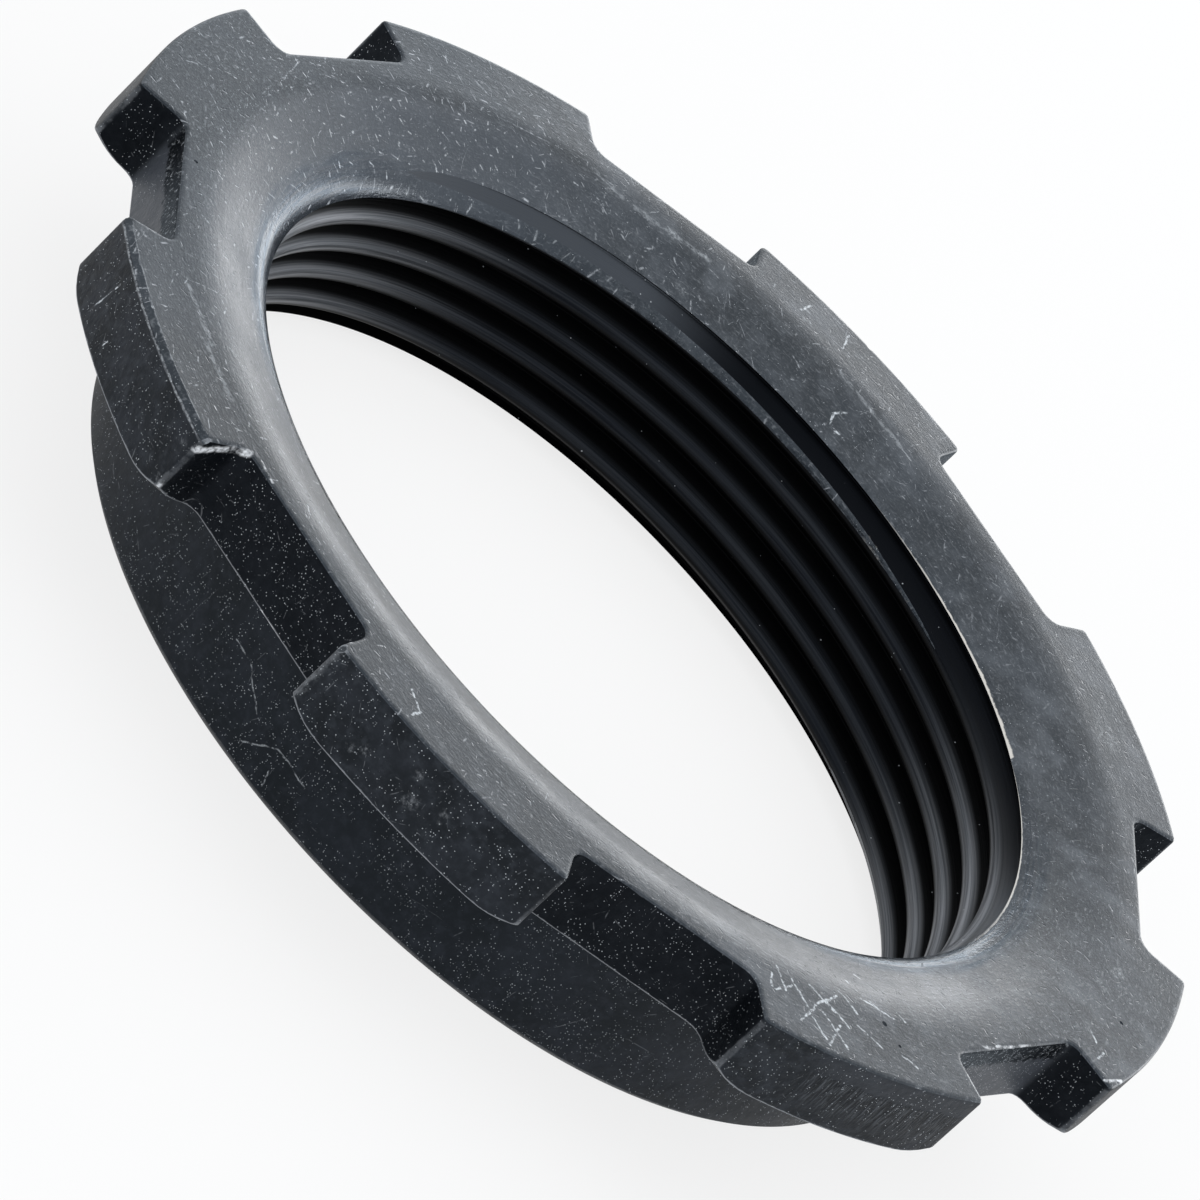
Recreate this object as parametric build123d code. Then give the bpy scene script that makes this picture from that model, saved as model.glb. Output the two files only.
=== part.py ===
from build123d import *
import math
import os

# Spring preload ring of a threaded shock absorber body, made as one steel piece:
# a lugged flange that the spring rests on, and a short collar that centres the spring.
# Millimetres, +Z along the bore towards the lugged face that the spanner is held to.
# The origin is the middle of the circle that the ring stands on, the lowest edge of the collar.

# Thread that the shock body screws into: right-hand, 60 degree ISO form
thread_diameter = 48.0
thread_pitch = 2.0
crest_depth_in_pitches = 0.54127

# Widths from the thread outwards, and heights
collar_wall = 1.5
seat_width = 7.7
ring_height = 12.3
flange_thickness = 4.0

# Lugged face: flat by the rim, dished down towards the bore
dish_width = 4.0
dish_angle = 17.6
bore_mouth_radius = 1.8

# Free end of the drawn collar: it slopes up towards the bore, where a narrow chamfer ends the thread
end_slope_angle = 25.5
exit_chamfer_width = 0.58
exit_chamfer_angle = 49.0

# Spanner slots round the rim, with radial walls and flat floors
slot_count = 8
slot_angle = 20.0
slot_depth = 3.3
slot_corner_radius = 0.8

# Edges: crisp on the flange's back, except at the lugs' corners, where the punch rolled them over
face_edge_radius = 0.2
lug_corner_radius = 0.3
corner_roll_radius = 2.6
corner_roll_width = 1.75
collar_root_radius = 0.8
collar_end_chamfer = 0.35

# Radii and heights that follow from the values above
thread_crest_radius = thread_diameter / 2 - crest_depth_in_pitches * thread_pitch
collar_radius = thread_diameter / 2 + collar_wall
flange_radius = collar_radius + seat_width
dish_radius = thread_diameter / 2 + dish_width
slot_floor_distance = flange_radius - slot_depth
flange_back = ring_height - flange_thickness
end_edge_radius = collar_radius - collar_end_chamfer
exit_radius = thread_crest_radius + exit_chamfer_width
exit_height = (end_edge_radius - exit_radius) * math.tan(math.radians(end_slope_angle))
thread_end_height = exit_height + exit_chamfer_width * math.tan(math.radians(exit_chamfer_angle))


def bore_mouth():
    """Start, middle and end of the arc that leads from the dish down into the bore."""
    slope = math.radians(dish_angle)
    halfway = (slope + math.pi / 2) / 2
    centre_r = thread_crest_radius + bore_mouth_radius
    start_r = centre_r - bore_mouth_radius * math.sin(slope)
    start_z = ring_height - (dish_radius - start_r) * math.tan(slope)
    centre_z = start_z - bore_mouth_radius * math.cos(slope)
    middle_r = centre_r - bore_mouth_radius * math.sin(halfway)
    middle_z = centre_z + bore_mouth_radius * math.cos(halfway)
    return (start_r, start_z), (middle_r, middle_z), (thread_crest_radius, centre_z)


def turned_section():
    """Half section of the ring in the XZ plane, with the radius along X."""
    mouth_start, mouth_middle, mouth_end = bore_mouth()
    with BuildSketch(Plane.XZ) as section:
        with BuildLine():
            Polyline(
                mouth_end,
                (thread_crest_radius, thread_end_height),
                (exit_radius, exit_height),
                (end_edge_radius, 0),
                (collar_radius, collar_end_chamfer),
                (collar_radius, flange_back),
                (flange_radius, flange_back),
                (flange_radius, ring_height),
                (dish_radius, ring_height),
                mouth_start,
            )
            ThreePointArc(mouth_start, mouth_middle, mouth_end)
        make_face()
        under_flange = [v for v in section.vertices() if abs(v.Y - flange_back) < 1e-6]
        fillet(min(under_flange, key=lambda v: v.X), collar_root_radius)
    return section.sketch


def slot_cutter():
    """One spanner slot, open at the rim, lying on the X axis."""
    reach = flange_radius + 1
    widening = math.tan(math.radians(slot_angle / 2))
    with BuildSketch(Plane.XY.offset(flange_back - 1)) as outline:
        with BuildLine():
            Polyline(
                (slot_floor_distance, -slot_floor_distance * widening),
                (reach, -reach * widening),
                (reach, reach * widening),
                (slot_floor_distance, slot_floor_distance * widening),
                close=True,
            )
        make_face()
        fillet(outline.vertices().sort_by(Axis.X)[:2], slot_corner_radius)
    return extrude(outline.sketch, flange_thickness + 2)


def slotted_ring():
    """The turned ring with its slots, set evenly round the rim."""
    ring = revolve(turned_section(), Axis.Z)
    for index in range(slot_count):
        ring -= slot_cutter().rotate(Axis.Z, index * 360 / slot_count)
    return ring


def face_outline(ring):
    """Outer edges of the lugged face."""
    level = [face for face in ring.faces().filter_by(Plane.XY) if abs(face.center().Z - ring_height) < 1e-6]
    return level[0].outer_wire().edges()


def lug_corners(ring):
    """Upright edges at the rim, two on each lug."""
    upright = [(edge, edge.center()) for edge in ring.edges().filter_by(Axis.Z)]
    return [edge for edge, middle in upright if abs(math.hypot(middle.X, middle.Y) - flange_radius) < 1e-3]


def corner_roll_cutter():
    """What the roll-over takes off one back corner: the space under an arc that rises outwards."""
    reach = 1.3 * corner_roll_width
    rise = corner_roll_radius - math.sqrt(corner_roll_radius**2 - reach**2)
    halfway = math.asin(reach / corner_roll_radius) / 2
    middle_rise = corner_roll_radius * (1 - math.cos(halfway))
    with BuildSketch(Plane.XZ) as profile:
        with BuildLine():
            ThreePointArc(
                (-corner_roll_width, 0),
                (corner_roll_radius * math.sin(halfway) - corner_roll_width, middle_rise),
                (reach - corner_roll_width, rise),
            )
            Polyline(
                (reach - corner_roll_width, rise),
                (reach - corner_roll_width, -1),
                (-corner_roll_width, -1),
                (-corner_roll_width, 0),
            )
        make_face()
    return extrude(profile.sketch, 2 * corner_roll_width, both=True)


def finished_ring():
    """The slotted ring with its edges broken and the back corners of its lugs rolled over."""
    ring = slotted_ring()
    ring = ring.fillet(lug_corner_radius, lug_corners(ring))
    ring = ring.fillet(face_edge_radius, face_outline(ring))
    cutter = corner_roll_cutter()
    for index in range(slot_count):
        for side in (-1, 1):
            corner_angle = index * 360 / slot_count + side * slot_angle / 2
            at_rim = Pos(flange_radius, 0, flange_back) * cutter.rotate(Axis.Z, -side * 45)
            ring -= at_rim.rotate(Axis.Z, corner_angle)
    return ring


os.makedirs("parts", exist_ok=True)
export_step(finished_ring(), "parts/preload_ring.step")
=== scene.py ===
# %% [markdown]
# # A spring preload ring
#
# On the real object this is a nut as wide as a coil spring. It screws onto the threaded body of a
# shock absorber. The spring's end turn slips over the short collar and leans on the flange's back,
# and a hook spanner in one of the eight slots turns the ring, which squeezes the spring.
#
# The ring is one piece of steel, punched, turned, threaded and blacked. The lesson builds it as a
# maker would: first the turned section, then the slotted flange, then the thread, cut with a tap.
# The black finish comes last, with the dust and the scratches that the ring got in a drawer.

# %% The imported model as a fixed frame
import bmesh
import bpy
import math
from mathutils import Matrix, Vector


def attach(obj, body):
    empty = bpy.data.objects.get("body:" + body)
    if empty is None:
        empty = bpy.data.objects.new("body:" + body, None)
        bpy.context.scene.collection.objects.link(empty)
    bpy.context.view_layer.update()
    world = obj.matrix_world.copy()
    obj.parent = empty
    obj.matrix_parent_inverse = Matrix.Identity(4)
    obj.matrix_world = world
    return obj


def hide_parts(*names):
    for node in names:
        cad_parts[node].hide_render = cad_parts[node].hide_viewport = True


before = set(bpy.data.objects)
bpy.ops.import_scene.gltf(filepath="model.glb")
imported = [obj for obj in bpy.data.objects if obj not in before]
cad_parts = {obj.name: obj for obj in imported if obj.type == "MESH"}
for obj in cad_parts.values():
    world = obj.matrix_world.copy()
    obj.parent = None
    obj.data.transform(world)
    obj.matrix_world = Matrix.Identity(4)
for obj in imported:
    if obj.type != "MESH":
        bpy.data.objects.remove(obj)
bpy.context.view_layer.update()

# %% [markdown]
# ## The camera
#
# The photo is a close-up with a long lens, taken low over the flange and with the camera rolled on
# its side. The place, the aim and the roll were found by fitting the rim and the bore to the photo.
# A long lens keeps the ring's near and far sides almost the same size.

# %% The camera
camera_place = Vector((0.14011, -0.35209, 0.18775))
camera_aim = Vector((-0.00029, -0.00012, 0.00741))
camera_roll = math.radians(46.36)

camera = bpy.data.objects.new("camera", bpy.data.cameras.new("camera"))
bpy.context.scene.collection.objects.link(camera)
camera.data.lens = 266.0
camera.data.sensor_width = 36.0
camera.data.clip_start = 0.01
looking = (camera_aim - camera_place).to_track_quat("-Z", "Y").to_matrix()
rolled = looking @ Matrix.Rotation(camera_roll, 3, "Z")
camera.matrix_world = Matrix.Translation(camera_place) @ rolled.to_4x4()
bpy.context.scene.camera = camera
print("camera distance in mm", round((camera_aim - camera_place).length * 1000, 1))

# %% [markdown]
# ## The ring's sizes
#
# All of them are in millimetres, as on a drawing, and the finished mesh is scaled to metres once.
# The origin lies on the bore's axis, level with the collar's lowest edge.

# %% Sizes in millimetres
ring_height = 12.3
flange_thickness = 4.0
flange_radius = 33.2
collar_radius = 25.5
collar_end_radius = 25.15
exit_radius = 23.5
thread_radius = 24.14
thread_pitch = 2.0
crest_radius = 22.917
dish_radius = 28.0
dish_angle = math.radians(17.6)
dish_edge_rounding = 7.5
mouth_rounding = 1.8
collar_root_rounding = 0.8
end_slope = math.radians(25.5)
exit_angle = math.radians(49.0)
slot_floor = 29.9
slot_half_angle = math.radians(10.0)
flange_back = ring_height - flange_thickness
print("flange", 2 * flange_radius, "mm across, collar", 2 * collar_radius, "mm across")

# %% [markdown]
# ## The turned section
#
# A lathe makes everything that is round: the dished face, the mouth of the bore, the bore, the
# collar's end and wall, and the back of the flange. Here one line of edges is that section, and a
# full spin turns it into the surface. The line starts with a few corners, and a vertex bevel rounds
# each by its own radius, as a turning tool's nose would. Long edges are divided afterwards, because
# even faces shade better and a cut through them is cleaner.

# %% Drawing a line and rounding its corners
def round_corner(bm, vert, radius, turn, segments):
    """Rounds the corner of a line at vert, where it turns by the angle turn."""
    bmesh.ops.bevel(bm, geom=[vert], affect="VERTICES", offset=radius * math.tan(turn / 2),
                    offset_type="OFFSET", segments=segments, profile=0.5, clamp_overlap=True, material=-1)


def line_of(bm, points):
    """Joins points by edges, and returns the vertices."""
    verts = [bm.verts.new(point) for point in points]
    for start, end in zip(verts, verts[1:]):
        bm.edges.new((start, end))
    return verts


def open_edges(bm):
    """The edges that don't lie between two faces: a closed surface has none."""
    return [edge for edge in bm.edges if len(edge.link_faces) != 2]


# %% The section, from the flat face through the bore to the flange's back
tap_start_radius = crest_radius - 0.037
mouth_height = ring_height - (dish_radius - tap_start_radius) * math.tan(dish_angle)
exit_height = (collar_end_radius - exit_radius) * math.tan(end_slope)
thread_end_height = exit_height + (exit_radius - tap_start_radius) * math.tan(exit_angle)
turning_steps = 480
longest_edge = 0.9


def turned_section(bm):
    """The section's line in the XZ plane, with its corners rounded."""
    points = [(dish_radius + 1.4, ring_height), (dish_radius, ring_height), (tap_start_radius, mouth_height),
              (tap_start_radius, thread_end_height), (exit_radius, exit_height), (collar_end_radius, 0.0),
              (collar_radius, collar_radius - collar_end_radius), (collar_radius, flange_back),
              (collar_radius + 1.6, flange_back)]
    verts = line_of(bm, [(x, 0.0, z) for x, z in points])
    quarter = math.pi / 2
    roundings = [(dish_edge_rounding, dish_angle, 6), (mouth_rounding, quarter - dish_angle, 8),
                 (0.1, quarter - exit_angle, 2), (0.1, exit_angle - end_slope, 2),
                 (0.06, end_slope + quarter / 2, 2), (0.12, quarter / 2, 2),
                 (collar_root_rounding, quarter, 6)]
    for vert, rounding in zip(verts[1:], roundings):
        round_corner(bm, vert, *rounding)
    for edge in list(bm.edges):
        if edge.calc_length() > longest_edge:
            bmesh.ops.subdivide_edges(bm, edges=[edge], cuts=int(edge.calc_length() / longest_edge))


ring = bmesh.new()
turned_section(ring)
face_circle_radius = max(v.co.x for v in ring.verts if v.co.z > flange_back + 0.1)
back_circle_radius = max(v.co.x for v in ring.verts if v.co.z < flange_back + 0.1)
bmesh.ops.spin(ring, geom=ring.verts[:] + ring.edges[:], cent=(0, 0, 0), axis=(0, 0, 1),
               angle=math.tau, steps=turning_steps, use_merge=True)
print("turned surface", len(ring.faces), "faces, meets the flange at radius",
      round(face_circle_radius, 2), "and", round(back_circle_radius, 2))

# %% [markdown]
# ## The slotted flange
#
# A press punched the flange's outline: eight lugs with radial sides, and flat floors between them.
# The outline is drawn as a line for one slot and one lug. The same line, drawn a little smaller or
# lower, gives the next one, and bridging the lines makes the wall and its edges. Eight turned
# copies close the rim.

# %% One line from the middle of a slot to the middle of the next
lug_steps = 26
longest_side_edge = 1.2


def slot_to_slot_line(bm, inset, height, rim_rounding, floor_rounding):
    """Draws the outline of one lug, moved inwards by inset, and returns its edges."""
    before = set(bm.edges)
    rim = flange_radius - inset
    floor = slot_floor - inset
    rim_angle = slot_half_angle + math.asin(inset / rim)
    side = (floor + inset * math.sin(slot_half_angle)) / math.cos(slot_half_angle)
    floor_end = side * math.sin(slot_half_angle) + inset * math.cos(slot_half_angle)
    tangent_angle = rim_angle + rim_rounding / rim
    corners = [(floor, 0.0), (floor, floor_end), (rim * math.cos(rim_angle), rim * math.sin(rim_angle)),
               (rim * math.cos(tangent_angle), rim * math.sin(tangent_angle))]
    first = line_of(bm, [(x, y, height) for x, y in corners])
    next_slot = Matrix.Rotation(math.pi / 4, 3, "Z")
    last = line_of(bm, [next_slot @ Vector((x, -y, height)) for x, y in corners])
    lug = bmesh.ops.spin(bm, geom=[first[3]], cent=(0, 0, 0), axis=(0, 0, 1),
                         angle=math.pi / 4 - 2 * tangent_angle, steps=lug_steps)
    lug_end = [item for item in lug["geom_last"] if isinstance(item, bmesh.types.BMVert)]
    bmesh.ops.pointmerge(bm, verts=lug_end + [last[3]], merge_co=last[3].co)
    for verts in (first, last):
        round_corner(bm, verts[1], floor_rounding, math.pi / 2 - slot_half_angle, 4)
        round_corner(bm, verts[2], rim_rounding * 0.98, math.pi / 2, 4)
    long_edges = [edge for edge in bm.edges
                  if edge not in before and edge.calc_length() > longest_side_edge]
    bmesh.ops.subdivide_edges(bm, edges=long_edges, cuts=4)
    return [edge for edge in bm.edges if edge not in before]


# %% [markdown]
# ## Wall and edges of the flange
#
# Each line below is one step of the way over the flange's rim, from the face to the back. Where an
# edge is rounded, the lines follow a quarter circle. Both edges are crisp, and the back one more.
# Only at the lugs' back corners the punch pulled the metal in, so there the edge rises by up to
# 0.7 mm. That roll-over is made by lifting the lower lines, as if a round bar lay under the corner.
# One lug was struck flat along its front edge, so it has a narrow bevel there.

# %% The lines from the face to the back
face_edge = 0.2
back_edge = 0.07
lug_corner = 0.32
roll_radius = 2.6
roll_width = 1.75
roll_height = 2.4
bevelled_lug = -112.5
bevelled_half = 14.0
bevel_width = 0.31


def quarter_turn(radius, steps):
    """Pairs of inset and drop along a quarter circle that starts on the flat."""
    angles = [math.pi / 2 * step / steps for step in range(steps + 1)]
    return [(radius * (1 - math.sin(a)), radius * (1 - math.cos(a))) for a in angles]


def rim_lines():
    """Inset and height of each line over the rim."""
    lines = [(face_edge + 0.24, ring_height), (face_edge + 0.12, ring_height)]
    lines += [(inset, ring_height - drop) for inset, drop in quarter_turn(face_edge, 3)]
    lines += [(0.0, ring_height - face_edge - drop) for drop in (0.12, 0.24)]
    lines += [(0.0, flange_back + back_edge + step) for step in (2.9, 2.3, 1.7, 1.1, 0.6, 0.25, 0.1)]
    lines += [(inset, flange_back + drop) for inset, drop in reversed(quarter_turn(back_edge, 2))]
    lines += [(inset, flange_back) for inset in (back_edge + 0.1, 0.4, 0.7, 1.0, 1.35)]
    return lines


def corner_lift(point):
    """How far the roll-over lifts a point of the first lug's back, by its distance from the corners."""
    lift = 0.0
    lug_half_angle = math.pi / 8 - slot_half_angle
    if abs(math.atan2(point.y, point.x) - math.pi / 8) > lug_half_angle + 0.001:
        return lift
    for side in (-1, 1):
        corner_angle = math.pi / 8 - side * lug_half_angle
        corner = Matrix.Rotation(corner_angle, 3, "Z") @ Vector((flange_radius, 0.0, 0.0))
        outwards = Matrix.Rotation(corner_angle - side * math.pi / 4, 3, "Z") @ Vector((1.0, 0.0, 0.0))
        reach = (point - corner).dot(outwards) + roll_width
        if reach > 0:
            lift = max(lift, roll_radius - math.sqrt(roll_radius ** 2 - reach ** 2))
    return lift


# %% The rim: one lug from line to line, then eight copies, then the struck edge
rim = bmesh.new()
previous = []
for inset, height in rim_lines():
    current = slot_to_slot_line(rim, inset, height, max(lug_corner - inset, 0.08), 0.8 + inset)
    if previous:
        bmesh.ops.bridge_loops(rim, edges=previous + current)
    previous = current
for vert in rim.verts:
    fade = 1 - (vert.co.z - flange_back) / roll_height
    if fade > 0:
        vert.co.z += corner_lift(vert.co) * fade
bmesh.ops.spin(rim, geom=rim.verts[:] + rim.edges[:] + rim.faces[:], cent=(0, 0, 0), axis=(0, 0, 1),
               angle=math.tau, steps=8, use_duplicate=True)
bmesh.ops.remove_doubles(rim, verts=rim.verts, dist=0.01)
for vert in rim.verts:
    radius = math.hypot(vert.co.x, vert.co.y)
    beyond = radius + vert.co.z - (flange_radius + ring_height - bevel_width)
    from_lug = math.degrees(math.atan2(vert.co.y, vert.co.x)) - bevelled_lug
    if beyond > 0 and abs(from_lug) < bevelled_half:
        vert.co.x *= 1 - beyond / 2 / radius
        vert.co.y *= 1 - beyond / 2 / radius
        vert.co.z -= beyond / 2
print("rim", len(rim.faces), "faces, open edges", len(open_edges(rim)))

# %% [markdown]
# ## Joining the rim to the turned part
#
# Two flat rings are still missing, one on the face and one on the back. Each lies between a circle
# of the turned surface and a line of the rim, so a triangle fill between the two closes it.

# %% The flat rings
def open_edges_at(bm, height):
    """Open edges that lie at one height."""
    return [edge for edge in open_edges(bm) if all(abs(vert.co.z - height) < 0.001 for vert in edge.verts)]


rim_mesh = bpy.data.meshes.new("rim")
rim.to_mesh(rim_mesh)
rim.free()
ring.from_mesh(rim_mesh)
for height, normal in ((ring_height, (0, 0, 1)), (flange_back, (0, 0, -1))):
    bmesh.ops.triangle_fill(ring, edges=open_edges_at(ring, height), use_beauty=True, normal=normal)
bmesh.ops.recalc_face_normals(ring, faces=ring.faces)
print("ring before the thread", len(ring.faces), "faces, open edges", len(open_edges(ring)),
      "volume mm3", round(ring.calc_volume(), 1))

# %% [markdown]
# ## Four finishes on one piece
#
# The ring was blacked all over, but its surfaces were made in different ways and wear differently.
# The face and the dish were turned and are handled most. The rim's sides and the slots are sheared
# metal. The collar is drawn and stays matt, and the thread is polished by the body it turns on.
# Each face of the mesh is given the number of its finish here, and the cut keeps these numbers.

# %% Numbering the finishes
finish_names = ["turned_face", "punched_side", "drawn_collar", "worn_thread"]
face_finish, side_finish, collar_finish, thread_finish = range(4)
mouth_end_height = mouth_height - mouth_rounding


def finish_number(face):
    """The finish of a face of the ring, by its place and its slope."""
    middle = face.calc_center_median()
    radius = math.hypot(middle.x, middle.y)
    if radius < tap_start_radius + 0.01 and middle.z > thread_end_height:
        return thread_finish
    if middle.z > mouth_end_height - 0.3 and radius < slot_floor and radius < dish_radius:
        return face_finish
    if face.normal.z > 0.65 and middle.z > flange_back:
        return face_finish
    if radius > slot_floor - 0.6 and face.normal.z > -0.6:
        return side_finish
    return collar_finish


for face in ring.faces:
    face.material_index = finish_number(face)
for index, name in enumerate(finish_names):
    print(name, sum(1 for face in ring.faces if face.material_index == index), "faces")

# %% [markdown]
# ## The thread
#
# A thread is a groove that a tap cuts. The tap here is a screw as thick as the thread: the profile
# of one turn, spun round the axis while it rises by the pitch. A Boolean modifier takes it away
# from the ring, so the thread runs out through the mouth and the chamfer as a real one does, in a
# groove that fades to a line. The crests are rounded, because the real ones are worn by the body.
# A cone closes each end of the tap, because a Boolean needs a closed body.

# %% The tap
tap_turns = 8
tap_steps = 200
tap_azimuth = math.radians(111.7)
root_height = 8.795
turns_below = 6
root_flat = 0.044
root_rounding = 0.06
crest_rounding = 0.4
flank_turn = math.radians(60.0)
tap_middle = 6
tip_reach = 16


def tap_profile(bm):
    """One turn's profile, from the middle of a root to the middle of the next."""
    flank_height = (thread_radius - crest_radius) * math.tan(math.radians(30.0))
    points = [(thread_radius, 0.0), (thread_radius, root_flat), (crest_radius, root_flat + flank_height),
              (crest_radius, thread_pitch - root_flat - flank_height),
              (thread_radius, thread_pitch - root_flat), (thread_radius, thread_pitch)]
    verts = line_of(bm, [(x, 0.0, z) for x, z in points])
    roundings = [(root_rounding, 2), (crest_rounding, 5), (crest_rounding, 5), (root_rounding, 2)]
    for vert, (radius, segments) in zip(verts[1:], roundings):
        round_corner(bm, vert, radius, flank_turn, segments)


tap = bmesh.new()
tap_profile(tap)
climb = (0, 0, thread_pitch / tap_steps)
bmesh.ops.spin(tap, geom=tap.verts[:] + tap.edges[:], cent=(0, 0, 0), axis=(0, 0, 1), dvec=climb,
               angle=math.tau * tap_turns, steps=tap_steps * tap_turns)
bmesh.ops.remove_doubles(tap, verts=tap.verts, dist=0.001)
bmesh.ops.translate(tap, verts=tap.verts, vec=(0, 0, root_height - turns_below * thread_pitch))
bmesh.ops.rotate(tap, verts=tap.verts, cent=(0, 0, 0), matrix=Matrix.Rotation(tap_azimuth, 3, "Z"))
for end in (-1, 1):
    end_edges = [edge for edge in open_edges(tap) if (edge.verts[0].co.z - tap_middle) * end > 0]
    cone = bmesh.ops.extrude_edge_only(tap, edges=end_edges)
    tips = [item for item in cone["geom"] if isinstance(item, bmesh.types.BMVert)]
    bmesh.ops.pointmerge(tap, verts=tips, merge_co=(0, 0, tap_middle + end * tip_reach))
bmesh.ops.recalc_face_normals(tap, faces=tap.faces)
for face in tap.faces:
    face.material_index = thread_finish
print("tap", len(tap.faces), "faces, open edges", len(open_edges(tap)),
      "heights", round(min(v.co.z for v in tap.verts), 2), round(max(v.co.z for v in tap.verts), 2))

# %% [markdown]
# ## Nicks
#
# Knocks have chipped a few corners and edges. Each is a ball that takes a little off: a large one
# leaves a facet, a small one a dent. The balls join the tap, so one cut does all of it.

# %% The nicks
def nick(bm, radius, azimuth, height, outwards, ball, depth):
    """Adds a ball that cuts a dent of a given depth; outwards is radial, sideways and up."""
    turn = Matrix.Rotation(math.radians(azimuth), 3, "Z")
    direction = turn @ Vector(outwards).normalized()
    middle = turn @ Vector((radius, 0.0, height)) + direction * (ball - depth)
    made = bmesh.ops.create_icosphere(bm, subdivisions=4 if ball > 1 else 2, radius=ball,
                                      matrix=Matrix.Translation(middle))
    for face in {face for vert in made["verts"] for face in vert.link_faces}:
        face.material_index = face_finish


# %% Placing the nicks
chipped_corners = [(-80.0, -1, 3.0, 0.34), (-100.0, 1, 4.0, 0.30), (-35.0, -1, 0.9, 0.22),
                   (80.0, 1, 2.5, 0.25), (145.0, -1, 2.0, 0.2), (10.0, -1, 1.5, 0.2)]
for azimuth, side, ball, depth in chipped_corners:
    nick(tap, flange_radius, azimuth, ring_height, (0.8, side * 0.9, 0.7), ball, depth)
dented_edge = [(-110.6, 0.14, 0.03), (-108.2, 0.12, 0.02), (-105.9, 0.16, 0.04), (-103.4, 0.14, 0.03),
               (-102.0, 0.16, 0.04), (112.0, 0.25, 0.08)]
half_bevel = bevel_width / 2
for azimuth, ball, depth in dented_edge:
    nick(tap, flange_radius - half_bevel, azimuth, ring_height - half_bevel, (1, 0, 1), ball, depth)
face_pits = [(29.6, -19.1, 0.16), (30.8, -18.3, 0.10), (31.0, 20.0, 0.12), (29.3, -140.0, 0.12)]
for radius, azimuth, ball in face_pits:
    nick(tap, radius, azimuth, ring_height, (0, 0, 1), ball, ball * 0.9)
print("nicks", len(chipped_corners) + len(dented_edge) + len(face_pits))

# %% [markdown]
# ## Cutting
#
# The ring and the tap become two objects in metres, both with the four finishes in the same order.
# One Boolean cut then makes the thread and the nicks, and the tap is thrown away. Afterwards the
# faces are shaded smooth, and an edge stays sharp where the surface turns by a clear angle.

# %% Cutting the thread and the nicks
millimetre = 0.001


def piece_from(bm, name):
    """Makes an object in metres from a bmesh in millimetres."""
    bmesh.ops.scale(bm, verts=bm.verts, vec=(millimetre,) * 3)
    mesh = bpy.data.meshes.new(name)
    bm.to_mesh(mesh)
    bm.free()
    piece = bpy.data.objects.new(name, mesh)
    bpy.context.scene.collection.objects.link(piece)
    return piece


blank = piece_from(ring, "spring_ring")
tap_piece = piece_from(tap, "thread_tap")
for name in finish_names:
    finish = bpy.data.materials.new(name)
    finish.use_nodes = True
    for cut_piece in (blank, tap_piece):
        cut_piece.data.materials.append(finish)
cut = blank.modifiers.new("thread", "BOOLEAN")
cut.operation = "DIFFERENCE"
cut.object = tap_piece
cut.solver = "MANIFOLD"
threaded = bpy.data.meshes.new_from_object(blank.evaluated_get(bpy.context.evaluated_depsgraph_get()))
blank.modifiers.clear()
blank.data = threaded
bpy.data.objects.remove(tap_piece)
print("threaded ring", len(threaded.polygons), "faces")

# %% Smooth faces, sharp edges
merge_distance = 0.000002
sharp_angle = math.radians(28.0)
finished = bmesh.new()
finished.from_mesh(threaded)
bmesh.ops.remove_doubles(finished, verts=finished.verts, dist=merge_distance)
for face in finished.faces:
    face.smooth = True
for edge in finished.edges:
    edge.smooth = len(edge.link_faces) == 2 and edge.calc_face_angle() < sharp_angle
print("open edges", len(open_edges(finished)), "volume mm3", round(finished.calc_volume() * 1e9, 1))
finished.to_mesh(threaded)
finished.free()

# %% [markdown]
# ## Where the ring is worn
#
# Wear bares the metal on edges that stand out. Every vertex gets a number for this: how sharply the
# surface turns outwards there. The finishes read it as an attribute, so the bare metal follows each
# real edge, its nicks and its roll-overs included.

# %% Measuring the edges that stand out
full_wear_angle = math.radians(45.0)
shortest_edge = 0.00003
measured = bmesh.new()
measured.from_mesh(threaded)
measured.normal_update()
edge_wear = measured.verts.layers.float.new("standing_edge")
for vert in measured.verts:
    turns = [edge.calc_face_angle_signed(0.0) for edge in vert.link_edges
             if edge.calc_length() > shortest_edge]
    vert[edge_wear] = min(1.0, max(turns + [0.0]) / full_wear_angle)
print("vertices on standing edges", sum(1 for vert in measured.verts if vert[edge_wear] > 0.5))
measured.to_mesh(threaded)
measured.free()

# %% [markdown]
# ## Helpers for the finishes
#
# A finish is a tree of nodes. These helpers add a node and fill its inputs with numbers or links, so
# that each tree reads as a short recipe. An effect that several finishes share, such as dust, is a
# node group: built once, and placed in each finish with its own values.

# %% Adding nodes
def add_node(tree, kind, inputs=(), **options):
    """Adds a shader node, sets its options, and fills its inputs with numbers or links."""
    node = tree.nodes.new("ShaderNode" + kind)
    for option, value in options.items():
        setattr(node, option, value)
    for key, value in dict(inputs).items():
        if isinstance(value, bpy.types.NodeSocket):
            tree.links.new(value, node.inputs[key])
        else:
            node.inputs[key].default_value = value
    return node


# %% Numbers
def number(tree, operation, *terms):
    """The result of one step of arithmetic."""
    return add_node(tree, "Math", enumerate(terms), operation=operation).outputs[0]


def times(tree, *factors):
    """The product of several numbers."""
    product = factors[0]
    for factor in factors[1:]:
        product = number(tree, "MULTIPLY", product, factor)
    return product


def spread(tree, value, factor, start):
    """A value times a factor, added to a start."""
    return number(tree, "MULTIPLY_ADD", value, factor, start)


def opposite(tree, share):
    """1 where the share is 0, and 0 where it is 1."""
    return number(tree, "SUBTRACT", 1.0, share)


def largest(tree, *values):
    """The largest of several values."""
    result = values[0]
    for value in values[1:]:
        result = number(tree, "MAXIMUM", result, value)
    return result


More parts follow.
